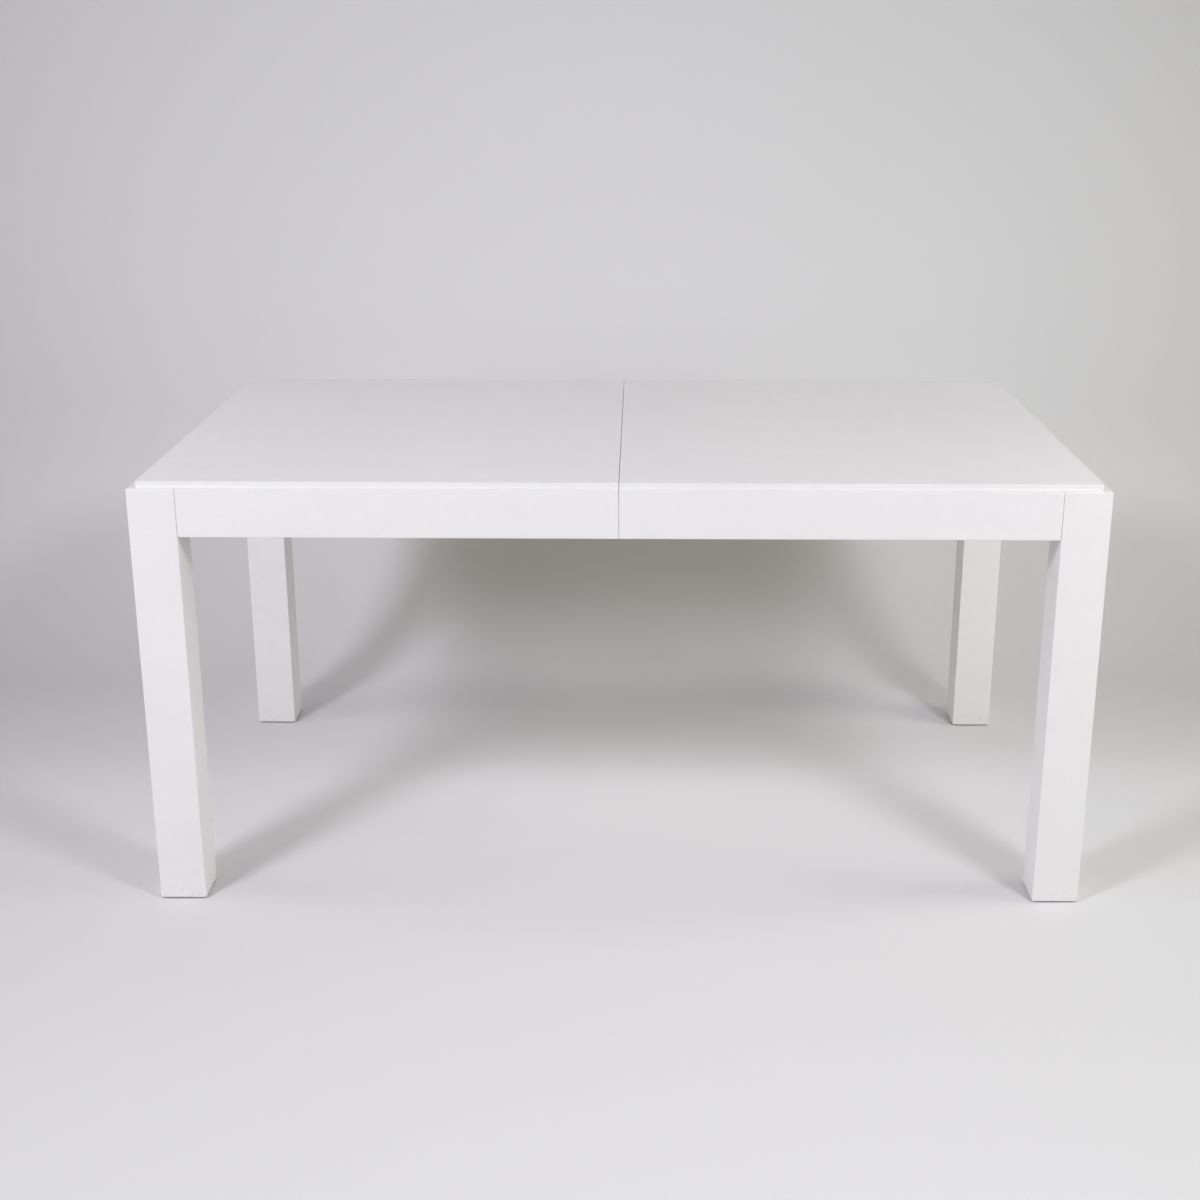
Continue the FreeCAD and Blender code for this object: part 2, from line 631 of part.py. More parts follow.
def bearer_spots(half, where):
    """The countersunk screws of a bearer, from its lower face up."""
    spots = []
    for side in (-1, 1):
        for offset in ("bearer_screw_inner", BEARER_SCREW_MIDDLE, BEARER_SCREW_OUTER):
            spots.append((f"{half} * {where}", f"{side} * {offset}", BEARER_BASE, None))
    return spots


def off_the_split(half):
    """A test for the edges of a top panel that aren't along the split."""
    def test(edge, box):
        split = box.XMin if half > 0 else box.XMax
        return abs(edge.CenterOfMass.x - split) > NEAR
    return test


def on_the_split(half):
    """A test for the long edges of a top panel that are along the split."""
    def test(edge, box):
        split = box.XMin if half > 0 else box.XMax
        return abs(edge.CenterOfMass.x - split) < NEAR and edge.Length > box.YLength * MOST
    return test


def top_panel(half_name, half):
    """One half of the top, with eased edges and the holes for the bearers' screws."""
    name = f"{half_name}_top"
    long = f"({END} - top_end_reveal - {SEAM})"
    deep = "(table_width - 2 * top_side_reveal)"
    body = document.addObject("PartDesign::Body", f"{name}_board")
    sketch = polygon_sketch(body, f"{name}_outline", rectangle(long, deep))
    pad = padded(body, sketch, f"{name}_pad", "top_thickness")
    split = eased(body, pad, f"{name}_split_ease", "seam_ease", on_the_split(half))
    eased(body, split, f"{name}_ease", "top_ease", off_the_split(half))
    place(body, (f"{half} * ({SEAM} + {long} / 2)", "0", LEDGE))
    spots = bearer_spots(half, SPLIT_BEARER_X) + bearer_spots(half, MIDDLE_BEARER_X)
    holes = copies(bearer_screw_hole, f"{name}_hole", spots)
    return keep(cut(f"{name}_cut", body, holes), name)


def lower_long_edge(edge, box):
    """A bearer's long edges on its underside."""
    return abs(edge.CenterOfMass.z - box.ZMin) < NEAR and edge.Length > box.YLength * MOST


def bearer(label, half_name, half, where, extra=()):
    """A bearer across one half, under the top, from apron to apron."""
    name = f"{half_name}_{label}_bearer"
    deep = f"(2 * {FRONT_INSIDE} - 2 * joint_gap)"
    at = (f"{half} * {where}", "0", BEARER_BASE)
    plank = board(name, "bearer_width", deep, "bearer_thickness", at, "bearer_ease", lower_long_edge)
    tools = copies(bearer_screw_hole, f"{name}_hole", bearer_spots(half, where))
    tools += copies(rail_screw_hole, f"{name}_rail_hole", rail_screw_spots(half, where))
    return keep(cut(f"{name}_cut", plank, [*tools, *extra]), name)


def bearer_screws(half_name, half):
    """The screws that hold both bearers of one half to the top."""
    spots = bearer_spots(half, SPLIT_BEARER_X) + bearer_spots(half, MIDDLE_BEARER_X)
    name = f"{half_name}_bearer_screws"
    keep(grouped(f"{name}_group", copies(bearer_screw_master, name, spots)), name)


def glue_block():
    """A three-sided glue block whose square corner runs along X, centred on the origin."""
    body = document.addObject("PartDesign::Body", "glue_block")
    corners = (("0", "0"), ("block_side", "0"), ("0", "-block_side"))
    sketch = polygon_sketch(body, "glue_block_outline", corners, "YZ_Plane")
    padded(body, sketch, "glue_block_pad", "block_length")
    return body


def glue_blocks(half_name, half):
    """Glue blocks in the corner between the top and the aprons of one half."""
    bracket_edge = f"({LEG_X} - {BRACKET_BEND} - bracket_flange)"
    middle_edge = f"({MIDDLE_BEARER_X} + bearer_width / 2)"
    runs = (f"({SPLIT_BEARER_X} + bearer_spacing / 2)", f"(({bracket_edge} + {middle_edge}) / 2)")
    spots = []
    for side in (-1, 1):
        turn = Rotation(UP, 0 if side < 0 else 180)
        for run in runs:
            x = f"{half} * {run} + {side} * block_length / 2"
            spots.append((x, f"{side} * {FRONT_INSIDE}", LEDGE, turn))
    turn = Rotation(UP, -90 if half < 0 else 90)
    for step in (-1, 0, 1):
        y = f"{step} * block_spacing - {half} * block_length / 2"
        spots.append((f"{half} * {END_INSIDE}", y, LEDGE, turn))
    name = f"{half_name}_glue_blocks"
    keep(grouped(f"{name}_group", copies(block_master, name, spots)), name)


# ---------------------------------------------------------------------------------------------------------
# Geared slides. In each slide the left half's rail is the outer one and the right half's the inner one.
# ---------------------------------------------------------------------------------------------------------

def rail_line(side, half):
    """How far a side rail's middle is from the middle of the table, along Y."""
    outward = -half
    return f"{side} * ({SLIDE_Y} + {outward} * {RAIL_STEP})"


def rail_screw_spots(half, where):
    """The screws that hold both rails of one half to a bearer."""
    edge = f"({where} + bearer_width / 2 - rail_screw_inset)"
    return [
        (f"{half} * {edge}", rail_line(side, half), f"({RAIL_BASE} + rail_screw_sink)", None)
        for side in (-1, 1)
    ]


def side_rail(side_name, side, half_name, half):
    """A rail fixed under one half. It reaches past the split, and its tongue runs in the centre rail."""
    name = f"{side_name}_{half_name}_rail"
    long = f"({RAIL_FAR} + {RAIL_REACH})"
    middle = f"{half} * ({RAIL_FAR} - {long} / 2)"
    line = rail_line(side, half)
    plank = board(name, long, "rail_thickness", "rail_height", (middle, line, RAIL_BASE))
    inward = side * half
    tongue_long = f"({TONGUE_START} + {RAIL_REACH})"
    tongue_x = f"{half} * ({TONGUE_START} - {tongue_long} / 2)"
    tongue_y = f"{line} + {inward} * (rail_thickness / 2 + tongue_depth / 2 - fuse_depth / 2)"
    tongue_at = (tongue_x, tongue_y, TONGUE_BASE)
    tongue = block(f"{name}_tongue", tongue_long, "(tongue_depth + fuse_depth)", "tongue_height", tongue_at)
    relief_x = f"{-half} * ({RAIL_REACH} + tool_overshoot - {SEAM}) / 2"
    relief_long = f"({RAIL_REACH} + tool_overshoot + {SEAM})"
    relief = block(
        f"{name}_relief", relief_long, "2 * rail_thickness", "2 * rail_relief",
        (relief_x, line, f"{RAIL_TOP} - rail_relief"),
    )
    tools = [relief]
    for number, where in enumerate((SPLIT_BEARER_X, MIDDLE_BEARER_X)):
        spot = [s for s in rail_screw_spots(half, where) if s[1] == line][0]
        tools.append(copy_of(rail_screw_hole, f"{name}_hole_{number}", spot[:3]))
        well_at = (spot[0], spot[1], f"{RAIL_BASE} - tool_overshoot")
        well_radius = "wood_screw_head_radius + well_clearance"
        well_deep = "(rail_screw_sink + tool_overshoot)"
        tools.append(cylinder(f"{name}_well_{number}", well_radius, well_deep, well_at))
    tools += copies(pan_pilot, f"{name}_rack_hole", rack_screw_spots(side, half))
    return keep(cut(f"{name}_cut", fused(f"{name}_whole", [plank, tongue]), tools), name)


def rail_screws(half_name, half):
    """The screws that hold one half's rails to its bearers."""
    spots = rail_screw_spots(half, SPLIT_BEARER_X) + rail_screw_spots(half, MIDDLE_BEARER_X)
    name = f"{half_name}_rail_screws"
    keep(grouped(f"{name}_group", copies(rail_screw_master, name, spots)), name)


def along_x(edge, box):
    """Long edges of a rail."""
    return edge.Length > box.XLength * MOST


def center_rail(side_name, side):
    """The rail between the two side rails, with a groove on each face and a hole for the pinion's screw."""
    name = f"{side_name}_center_rail"
    high = "(rail_height - rail_relief)"
    y = f"{side} * {SLIDE_Y}"
    long = f"2 * {CENTER_RAIL_END}"
    plank = board(name, long, "rail_thickness", high, ("0", y, RAIL_BASE), "rail_ease", along_x)
    tools = []
    for half_name, half in HALVES:
        outward = -half * side
        groove_long = f"({GROOVE_START} + {CENTER_RAIL_END} + tool_overshoot)"
        groove_x = f"{half} * ({GROOVE_START} - {groove_long} / 2)"
        groove_y = f"{y} + {outward} * (rail_thickness - {GROOVE_DEPTH} + tool_overshoot) / 2"
        groove_at = (groove_x, groove_y, f"{TONGUE_BASE} - groove_clearance")
        groove_deep = f"({GROOVE_DEPTH} + tool_overshoot)"
        tools.append(block(f"{name}_{half_name}_groove", groove_long, groove_deep, GROOVE_HEIGHT, groove_at))
    thread = "axle_thread_radius + thread_clearance"
    tools.append(through_hole(f"{name}_thread", thread, "axle_thread_length", ("0", y, RAIL_BASE)))
    return keep(cut(f"{name}_cut", plank, tools), name)


def rack_teeth():
    """How many teeth a rack has: those that the travel needs, and spare ones at both ends."""
    pitch = math.pi * size("gear_module")
    return math.ceil(size("leaf_width") / 2 / pitch) + 2 * RACK_SPARE


def rack_screw_spots(side, half):
    """The three screws of a rack, one tooth from each end and halfway, driven up into the rail."""
    first = 1 - RACK_SPARE
    last = rack_teeth() - RACK_SPARE - 1
    spots = []
    for step in (first, (first + last) / 2, last):
        x = f"{-half} * {step} * {TOOTH_PITCH}"
        y = f"{side} * ({SLIDE_Y} + {-half} * {RACK_SCREW_Y})"
        spots.append((x, y, f"({RAIL_BASE} - rack_thickness)", HEAD_DOWN))
    return spots


def rack_face():
    """The outline of a rack for the left half's rail: teeth towards +Y, a tooth space at the origin."""
    module = size("gear_module")
    pitch = math.pi * module
    slope = math.tan(math.radians(PRESSURE_ANGLE))
    thick = pitch / 2 - size("gear_backlash") / 2
    low = -ROOT_DEPTH * module
    tip = thick / 2 - slope * module
    root = thick / 2 - slope * low
    points = []
    for tooth in range(-RACK_SPARE, rack_teeth() - RACK_SPARE):
        middle = (tooth + 0.5) * pitch
        points += [Vector(middle - root, low), Vector(middle - tip, module)]
        points += [Vector(middle + tip, module), Vector(middle + root, low)]
    start = -RACK_SPARE * pitch
    end = (rack_teeth() - RACK_SPARE) * pitch
    back = low - size("rack_back")
    points += [Vector(end, low), Vector(end, back), Vector(start, back), Vector(start, low)]
    return Part.Face(Part.makePolygon(points + points[:1]))


def rack_solid():
    """A rack with its lower face at the origin's height."""
    return rack_face().extrude(Vector(0, 0, size("rack_thickness")))


def rack(side_name, side, half_name, half, solid):
    """The rack under a side rail, its teeth towards the pinion."""
    name = f"{side_name}_{half_name}_rack"
    bar = document.addObject("Part::Feature", f"{name}_bar")
    bar.Shape = solid.mirror(Vector(), Vector(1, 0, 0)) if side > 0 else solid
    outward = -half * side
    turn = Rotation(UP, 0 if outward < 0 else 180)
    y = f"{side} * {SLIDE_Y} + {outward} * {PITCH_RADIUS}"
    place(bar, ("0", y, f"{RAIL_BASE} - rack_thickness"), turn)
    holes = copies(plate_hole, f"{name}_hole", rack_screw_spots(side, half))
    return keep(cut(f"{name}_cut", bar, holes), name)


def rack_screws(half_name, half):
    """The screws that hold one half's two racks to their rails."""
    spots = rack_screw_spots(-1, half) + rack_screw_spots(1, half)
    name = f"{half_name}_rack_screws"
    keep(grouped(f"{name}_group", copies(pan_master, name, spots)), name)


def pinion_solid():
    """A spur pinion with one tooth along +Y, its lower face at the origin's height."""
    module = size("gear_module")
    teeth = int(size("pinion_teeth"))
    pitch_radius = module * teeth / 2
    pressure = math.radians(PRESSURE_ANGLE)
    base_radius = pitch_radius * math.cos(pressure)
    involute = math.tan(pressure) - pressure
    half_thick = (math.pi * module / 2 - size("gear_backlash") / 2) / 2 / pitch_radius
    tip_radius = pitch_radius + module
    root_radius = pitch_radius - ROOT_DEPTH * module

    def flank(radius):
        """Half the angle that a tooth covers at a radius."""
        if radius <= base_radius:
            return half_thick + involute
        roll = math.acos(base_radius / radius)
        return half_thick + involute - (math.tan(roll) - roll)

    def at(radius, angle):
        """A point of the outline, its angle counted from +Y."""
        return Vector(-radius * math.sin(angle), radius * math.cos(angle))

    edges = []
    radii = (root_radius, base_radius, (base_radius + tip_radius) / 2, tip_radius)
    for tooth in range(teeth):
        turn = 2 * math.pi * tooth / teeth
        turn_next = turn + 2 * math.pi / teeth
        rise = [at(radius, turn - flank(radius)) for radius in radii]
        fall = [at(radius, turn + flank(radius)) for radius in reversed(radii)]
        edges.append(Part.makeLine(rise[0], rise[1]))
        edges.append(Part.Arc(rise[1], rise[2], rise[3]).toShape())
        edges.append(Part.Arc(rise[3], at(tip_radius, turn), fall[0]).toShape())
        edges.append(Part.Arc(fall[0], fall[1], fall[2]).toShape())
        edges.append(Part.makeLine(fall[2], fall[3]))
        space = at(root_radius, (turn + turn_next) / 2)
        edges.append(Part.Arc(fall[3], space, at(root_radius, turn_next - flank(root_radius))).toShape())
    face = Part.Face(Part.Wire(edges))
    return face.extrude(Vector(0, 0, size("pinion_thickness")))


def pinion(side_name, side, solid):
    """The pinion that turns under a centre rail, between the two racks."""
    name = f"{side_name}_pinion"
    wheel = document.addObject("Part::Feature", f"{name}_wheel")
    wheel.Shape = solid
    at = ("0", f"{side} * {SLIDE_Y}", PINION_BASE)
    place(wheel, at)
    bore = through_hole(f"{name}_bore", "axle_radius + axle_clearance", "pinion_thickness", at)
    return keep(cut(f"{name}_cut", wheel, [bore]), name)


def pinion_axle(side_name, side):
    """The shoulder screw that carries a pinion: head, shoulder and thread."""
    name = f"{side_name}_pinion_axle"
    y = f"{side} * {SLIDE_Y}"
    head_base = f"({PINION_BASE} - axle_end_play - axle_head_height)"
    shoulder_long = "(axle_end_play + pinion_thickness + pinion_gap)"
    head = cylinder(f"{name}_head", "axle_head_radius", "axle_head_height", ("0", y, head_base))
    shoulder_at = ("0", y, f"{PINION_BASE} - axle_end_play")
    shoulder = cylinder(f"{name}_shoulder", "axle_radius", shoulder_long, shoulder_at)
    thread = cylinder(f"{name}_thread", "axle_thread_radius", "axle_thread_length", ("0", y, RAIL_BASE))
    return keep(fused(f"{name}_fuse", [head, shoulder, thread]), name)


# ---------------------------------------------------------------------------------------------------------
# Alignment pins and locks at the split
# ---------------------------------------------------------------------------------------------------------

def pin_spots(start):
    """The four alignment pins, along X from a start."""
    turn = Rotation(UP, Vector(1, 0, 0))
    spots = []
    for side in (-1, 1):
        for offset in (PIN_INNER, PIN_OUTER):
            spots.append((start, f"{side} * {offset}", PIN_Z, turn))
    return spots


def alignment_pin():
    """An alignment pin with a chamfered nose."""
    straight = "(pin_hold + pin_reach - pin_nose)"
    shank = cylinder("pin_shank", "pin_radius", straight)
    nose = cone("pin_nose_cone", "pin_radius", "pin_radius - pin_nose", "pin_nose", ("0", "0", straight))
    return fused("alignment_pin", [shank, nose])


def lock_screw_spots(x, sides=(-1, 1)):
    """The two screws of a base plate or a keeper, for each lock, from the plate's lower face up."""
    spots = []
    for side in sides:
        for step in (-1, 1):
            y = f"{side} * {LOCK_Y} + {step} * (lock_plate_length / 2 - lock_screw_inset)"
            spots.append((x, y, LOCK_PLATE_BASE, None))
    return spots


def lock_bases():
    """The two base plates under the left half's split bearer."""
    plates = []
    for side_name, side in SIDES:
        name = f"{side_name}_lock_base"
        at = (f"-{LOCK_X}", f"{side} * {LOCK_Y}", LOCK_PLATE_BASE)
        plate = board(name, "lock_plate_width", "lock_plate_length", "lock_plate_thickness", at)
        hole = through_hole(f"{name}_hole", "rivet_radius + thread_clearance", "lock_plate_thickness", at)
        holes = copies(lock_screw_hole, f"{name}_screw_hole", lock_screw_spots(BASE_SCREW_X, (side,)))
        plates.append(cut(f"{name}_cut", plate, [hole, *holes]))
    keep(grouped("lock_base_group", plates), "lock_bases")


def lock_rivets():
    """The pivots of the two levers: a head under the lever and a shank up into the base plate."""
    rivets = []
    for side_name, side in SIDES:
        name = f"{side_name}_lock_rivet"
        at = (f"-{LOCK_X}", f"{side} * {LOCK_Y}", f"({RIVET_HEAD} - rivet_head_height)")
        head = cylinder(f"{name}_head", "rivet_head_radius", "rivet_head_height", at)
        long = "(2 * lock_gap + lever_thickness + lock_plate_thickness)"
        shank = cylinder(f"{name}_shank", "rivet_radius", long, (at[0], at[1], RIVET_HEAD))
        rivets.append(fused(f"{name}_fuse", [head, shank]))
    keep(grouped("lock_rivet_group", rivets), "lock_rivets")


def keepers():
    """The keepers under the right half: a plate, and on it a post for the hook to pass behind."""
    solids = []
    for side_name, side in SIDES:
        name = f"{side_name}_keeper"
        y = f"{side} * {LOCK_Y}"
        at = (f"{POST_X} + keeper_plate_width / 2", y, LOCK_PLATE_BASE)
        plate = block(f"{name}_plate", "keeper_plate_width", "lock_plate_length", "lock_plate_thickness", at)
        post_at = (f"{POST_X} + keeper_post_thickness / 2", y, LEVER_BASE)
        post_high = "(lever_thickness + lock_gap)"
        post = block(f"{name}_post", "keeper_post_thickness", "keeper_post_width", post_high, post_at)
        holes = copies(lock_screw_hole, f"{name}_screw_hole", lock_screw_spots(KEEPER_SCREW_X, (side,)))
        solids += [cut(f"{name}_cut", plate, holes), post]
    keep(grouped("keeper_group", solids), "lock_keepers")


def lock_screws(label, spots):
    """Screws of the base plates or of the keepers."""
    keep(grouped(f"{label}_group", copies(lock_screw_master, label, spots)), label)


def lever_arm(name, angle, reach):
    """A flat arm from a lever's pivot outwards, at an angle from +X."""
    arm = document.addObject("Part::Box", name)
    arm.setExpression("Length", bound(reach))
    arm.setExpression("Width", bound("lever_arm_width"))
    arm.setExpression("Height", bound("lever_thickness"))
    turn = math.radians(angle)
    x = f"{math.sin(turn):.6f} * lever_arm_width / 2"
    y = f"{-math.cos(turn):.6f} * lever_arm_width / 2"
    return place(arm, (x, y, "0"), Rotation(UP, angle))


def lock_lever(side_name, side):
    """A lock's lever, unlocked: hub, hook round the pivot, the arm that carries it, and a handle."""
    name = f"{side_name}_lock_lever"
    outer = "(hook_inner_radius + hook_width)"
    ring = cylinder(f"{name}_ring", outer, "lever_thickness", turn=Rotation(UP, HOOK_START))
    ring.Angle = HOOK_SWEEP
    inside = through_hole(f"{name}_inside", "hook_inner_radius", "lever_thickness")
    hook = cut(f"{name}_hook", ring, [inside])
    hub = cylinder(f"{name}_hub", "lever_hub_radius", "lever_thickness")
    spoke = lever_arm(f"{name}_spoke", SPOKE_ANGLE, "(hook_inner_radius + hook_width / 2)")
    handle = lever_arm(f"{name}_handle", HANDLE_ANGLE, "handle_length")
    tip_turn = math.radians(HANDLE_ANGLE)
    tip_at = (f"{math.cos(tip_turn):.6f} * handle_length", f"{math.sin(tip_turn):.6f} * handle_length", "0")
    tip = cylinder(f"{name}_tip", "handle_tip_radius", "lever_thickness", tip_at)
    whole = fused(f"{name}_whole", [hook, hub, spoke, handle, tip])
    bore = through_hole(f"{name}_bore", "rivet_radius + axle_clearance", "lever_thickness")
    lever = cut(f"{name}_cut", whole, [bore])
    place(lever, (f"-{LOCK_X}", f"{side} * {LOCK_Y}", LEVER_BASE), Rotation(UP, UNLOCKED_TURN))
    return keep(lever, name)


# ---------------------------------------------------------------------------------------------------------
# The table
# ---------------------------------------------------------------------------------------------------------

fill_sheet()

pan_master = pan_screw()
pan_pilot = pan_hole("pan_pilot", "thread_clearance")
plate_hole = pan_hole("plate_hole", "hole_clearance")
lock_screw_master = countersunk_screw("lock_screw", "lock_screw_length")
lock_screw_hole = countersunk_screw("lock_screw_room", "lock_screw_length", "thread_clearance")
bearer_screw_depth = "(bearer_thickness + wood_screw_bite)"
bearer_screw_master = countersunk_screw("bearer_screw", bearer_screw_depth)
bearer_screw_hole = countersunk_screw("bearer_screw_room", bearer_screw_depth, "thread_clearance")
rail_screw_depth = "(rail_height - rail_screw_sink + rail_screw_bite)"
rail_screw_master = countersunk_screw("rail_screw", rail_screw_depth)
rail_screw_hole = countersunk_screw("rail_screw_room", rail_screw_depth, "thread_clearance")
bolt_master = hanger_bolt()
bolt_hole = cylinder("bolt_hole", "bolt_radius + thread_clearance", "leg_side")
bracket_depth = "(bracket_standoff + bracket_thickness + tool_overshoot)"
bracket_bolt_hole = cylinder("bracket_bolt_hole", "bolt_radius + hole_clearance", bracket_depth)
washer_master = washer()
nut_master = nut()
nail_master = glide_nail("glide_nail")
nail_hole = glide_nail("nail_room", "thread_clearance")
block_master = glue_block()
pin_master = alignment_pin()
pin_hole = cylinder("pin_hole", "pin_radius + thread_clearance", "pin_hold + tool_overshoot")
pin_socket = cylinder("pin_socket", "pin_radius + pin_clearance", "pin_reach + 2 * tool_overshoot")
rack_shape = rack_solid()
pinion_shape = pinion_solid()

for half_name, half in HALVES:
    for side_name, side in SIDES:
        leg(side_name, side, half_name, half)
        long_apron(side_name, side, half_name, half)
        side_rail(side_name, side, half_name, half)
        rack(side_name, side, half_name, half, rack_shape)
    end_apron(half_name, half)
    top_panel(half_name, half)
    bearer("middle", half_name, half, MIDDLE_BEARER_X)
    leg_fasteners(half_name, half)
    glides(half_name, half)
    brackets(half_name, half)
    bearer_screws(half_name, half)
    glue_blocks(half_name, half)
    rail_screws(half_name, half)
    rack_screws(half_name, half)

left_tools = copies(pin_hole, "pin_hole_copy", pin_spots(f"-{SEAM} - pin_hold"))
left_tools += copies(lock_screw_hole, "base_pilot", lock_screw_spots(BASE_SCREW_X))
bearer("split", "left", -1, SPLIT_BEARER_X, left_tools)
right_tools = copies(pin_socket, "pin_socket_copy", pin_spots(f"{SEAM} - tool_overshoot"))
right_tools += copies(lock_screw_hole, "keeper_pilot", lock_screw_spots(KEEPER_SCREW_X))
bearer("split", "right", 1, SPLIT_BEARER_X, right_tools)
keep(grouped("pin_group", copies(pin_master, "pin", pin_spots(f"-{SEAM} - pin_hold"))), "alignment_pins")
lock_bases()
lock_rivets()
keepers()
lock_screws("lock_base_screws", lock_screw_spots(BASE_SCREW_X))
lock_screws("lock_keeper_screws", lock_screw_spots(KEEPER_SCREW_X))
for side_name, side in SIDES:
    center_rail(side_name, side)
    pinion(side_name, side, pinion_shape)
    pinion_axle(side_name, side)
    lock_lever(side_name, side)

document.recompute()


# ---------------------------------------------------------------------------------------------------------
# Checks and files
# ---------------------------------------------------------------------------------------------------------

def check_document():
    """Stop if any object failed, or if any piece has no valid solid."""
    for thing in document.Objects:
        if "Invalid" in thing.State or "Error" in thing.State:
            raise RuntimeError(f"{thing.Label} failed: {thing.State}")
    for piece in pieces:
        shape = piece.Shape
        if shape.isNull() or not shape.isValid() or not shape.Solids:
            raise RuntimeError(f"{piece.Label} has no valid solid")


def write_pieces():
    """Write each piece to its own file."""
    os.makedirs("parts", exist_ok=True)
    for piece in pieces:
        piece.Shape.exportStep(f"parts/{piece.Label}.step")
        box = piece.Shape.BoundBox
        print(f"{piece.Label}: {len(piece.Shape.Solids)} solids, "
              f"{box.XLength:.1f} x {box.YLength:.1f} x {box.ZLength:.1f}")
    print(f"{len(pieces)} pieces")


check_document()
write_pieces()
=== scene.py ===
import json
import math

import bpy
from mathutils import Matrix, Vector


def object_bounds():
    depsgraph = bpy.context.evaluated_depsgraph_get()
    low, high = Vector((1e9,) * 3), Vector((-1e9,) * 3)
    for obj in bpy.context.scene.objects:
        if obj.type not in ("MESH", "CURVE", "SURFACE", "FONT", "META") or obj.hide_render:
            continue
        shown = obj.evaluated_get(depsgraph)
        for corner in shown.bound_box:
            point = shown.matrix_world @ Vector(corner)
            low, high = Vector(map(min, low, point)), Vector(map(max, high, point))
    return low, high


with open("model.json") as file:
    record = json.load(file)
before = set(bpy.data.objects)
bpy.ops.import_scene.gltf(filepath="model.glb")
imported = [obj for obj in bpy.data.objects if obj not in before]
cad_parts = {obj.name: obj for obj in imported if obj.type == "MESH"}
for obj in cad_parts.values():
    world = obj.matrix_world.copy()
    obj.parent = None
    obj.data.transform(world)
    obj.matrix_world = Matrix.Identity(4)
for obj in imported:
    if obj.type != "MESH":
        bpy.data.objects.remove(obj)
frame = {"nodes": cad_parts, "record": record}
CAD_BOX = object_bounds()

# A white lacquered parsons table that pulls apart at mid-length, in a plain pale studio.
# All lengths are metres: X along the table, Y from front to rear, Z up from the floor.


# ---------------------------------------------------------------------------------------------------------
# Measures of the table, for marks that keep to its edges and joints
# ---------------------------------------------------------------------------------------------------------

TABLE_HALF = Vector(CAD_BOX[1])
TOP_THICKNESS = 0.012
LEG_SIDE = 0.080
APRON_HEIGHT = 0.082
LEDGE = TABLE_HALF.z - TOP_THICKNESS
APRON_FOOT = LEDGE - APRON_HEIGHT

# Painted shade in the hairline gap of a joint: how far it reaches, how softly it ends at the aprons' foot,
# how strong it is.
JOINT_SHADE = 0.0005
JOINT_END = 0.001
JOINT_SHARE = 0.75

# The edges' soft roundness, and the run of lacquer along the foot of the top's edges.
EDGE_PAINT = 0.002
EDGE_SAMPLES = 6
RUN_HEIGHT = 0.0055
RUN_DEPTH = 0.0022

# Scuffs on the legs are thick up to the first height and gone at the second.
SCUFF_HEIGHTS = (0.004, 0.05)
SCUFF_SHARE = 0.45


# ---------------------------------------------------------------------------------------------------------
# Colours: linear red, green and blue, mostly from a darker one to a paler one
# ---------------------------------------------------------------------------------------------------------

LACQUER = ((0.818, 0.811, 0.822), (0.853, 0.846, 0.855))
SCUFFED = (0.66, 0.64, 0.61)
# Painted shade for the hairline gaps where aprons meet legs.
PAINTED_JOINT_SHADE = (0.30, 0.29, 0.27)
BEECH = ((0.46, 0.30, 0.165), (0.70, 0.52, 0.335))
BEECH_RAYS = (0.37, 0.22, 0.12)
BRIGHT_ZINC = ((0.47, 0.48, 0.49), (0.68, 0.69, 0.68))
DARK_ZINC = ((0.36, 0.36, 0.37), (0.46, 0.46, 0.47))
YELLOW_ZINC = ((0.50, 0.48, 0.42), (0.74, 0.71, 0.62))
BRASS = ((0.56, 0.40, 0.17), (0.80, 0.62, 0.32))
BLACK_NYLON = ((0.012, 0.012, 0.013), (0.035, 0.035, 0.036))
BROWN_NYLON = ((0.10, 0.08, 0.065), (0.17, 0.14, 0.115))
PAPER_FIBRE = (0.66, 0.66, 0.67)
FIBRE_SHARE = 0.04
AIR = (0.66, 0.657, 0.645)

# From where each surface is glossiest to where it is dullest, and how strongly lacquer bends light.
LACQUER_DULLNESS = (0.42, 0.54)
BEECH_DULLNESS = (0.5, 0.66)
METAL_DULLNESS = (0.27, 0.46)
BLACK_NYLON_DULLNESS = (0.34, 0.5)
BROWN_NYLON_DULLNESS = (0.4, 0.55)
PAPER_DULLNESS = 0.7
LACQUER_IOR = 1.48

# Beech: how far away the rings' middle lies, the rings' wave in radians to the metre, how far they wander.
PITH_AWAY = (0.19, 0.23)
RING_TURN = 1150.0
RING_WANDER = 0.03


# ---------------------------------------------------------------------------------------------------------
# Materials
# ---------------------------------------------------------------------------------------------------------

